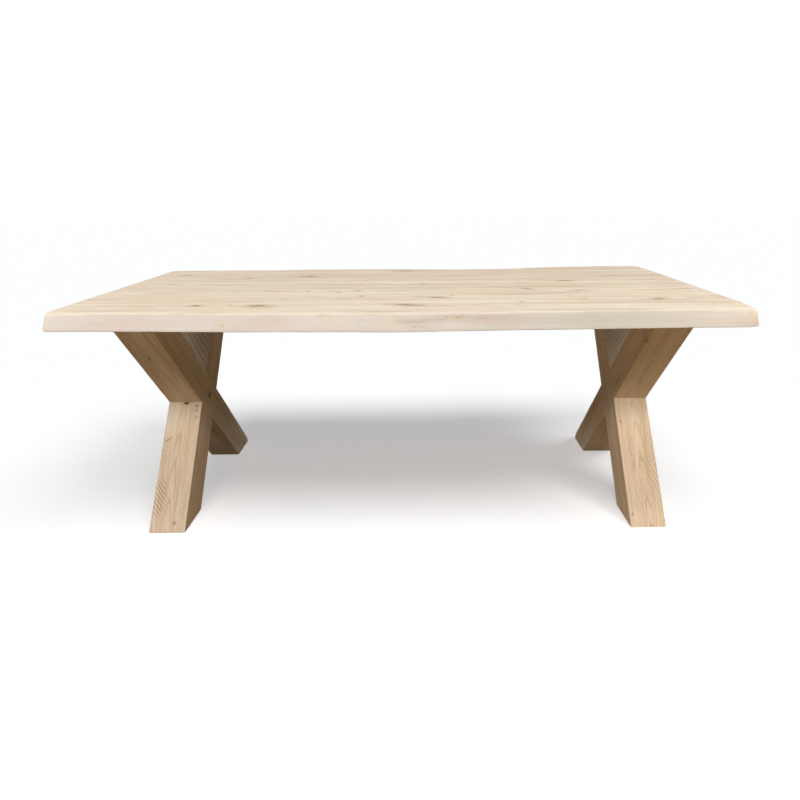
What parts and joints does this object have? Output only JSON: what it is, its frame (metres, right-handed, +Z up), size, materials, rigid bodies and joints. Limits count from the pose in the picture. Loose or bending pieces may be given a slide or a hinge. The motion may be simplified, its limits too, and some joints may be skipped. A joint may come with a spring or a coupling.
{
  "type": "dining table",
  "caption": "Rectangular wooden dining table with a live-edge plank top on two X-shaped half-lapped trestles.",
  "frame": {"origin": "on the floor under the middle of the table", "axes": "+X along the top, +Y from the front edge to the back edge, +Z up"},
  "size_m": [2, 1.0503, 0.76],
  "materials": {
    "oak_top": "sanded raw oak, pale",
    "oak_trestle": "planed raw oak",
    "plate_steel": "black powder coat",
    "zinc_steel": "zinc-plated"
  },
  "bodies": {
    "root": {"front_live_edge_board": "oak_top", "inner_board_1": "oak_top", "inner_board_2": "oak_top", "inner_board_3": "oak_top", "inner_board_4": "oak_top", "inner_board_5": "oak_top", "inner_board_6": "oak_top", "back_live_edge_board": "oak_top", "left_rising_beam_whole_layer": "oak_trestle", "left_rising_beam_core_layer": "oak_trestle", "left_rising_beam_foot_layer": "oak_trestle", "left_rising_beam_arm_layer": "oak_trestle", "left_falling_beam_whole_layer": "oak_trestle", "left_falling_beam_core_layer": "oak_trestle", "left_falling_beam_foot_layer": "oak_trestle", "left_falling_beam_arm_layer": "oak_trestle", "left_mounting_plate": "plate_steel", "left_plate_screws": "zinc_steel", "left_top_bolts": "zinc_steel", "left_bolt_washers": "zinc_steel", "left_threaded_inserts": "zinc_steel", "left_lap_screw": "zinc_steel", "right_rising_beam_whole_layer": "oak_trestle", "right_rising_beam_core_layer": "oak_trestle", "right_rising_beam_foot_layer": "oak_trestle", "right_rising_beam_arm_layer": "oak_trestle", "right_falling_beam_whole_layer": "oak_trestle", "right_falling_beam_core_layer": "oak_trestle", "right_falling_beam_foot_layer": "oak_trestle", "right_falling_beam_arm_layer": "oak_trestle", "right_mounting_plate": "plate_steel", "right_plate_screws": "zinc_steel", "right_top_bolts": "zinc_steel", "right_bolt_washers": "zinc_steel", "right_threaded_inserts": "zinc_steel", "right_lap_screw": "zinc_steel"}
  },
  "joints": []
}
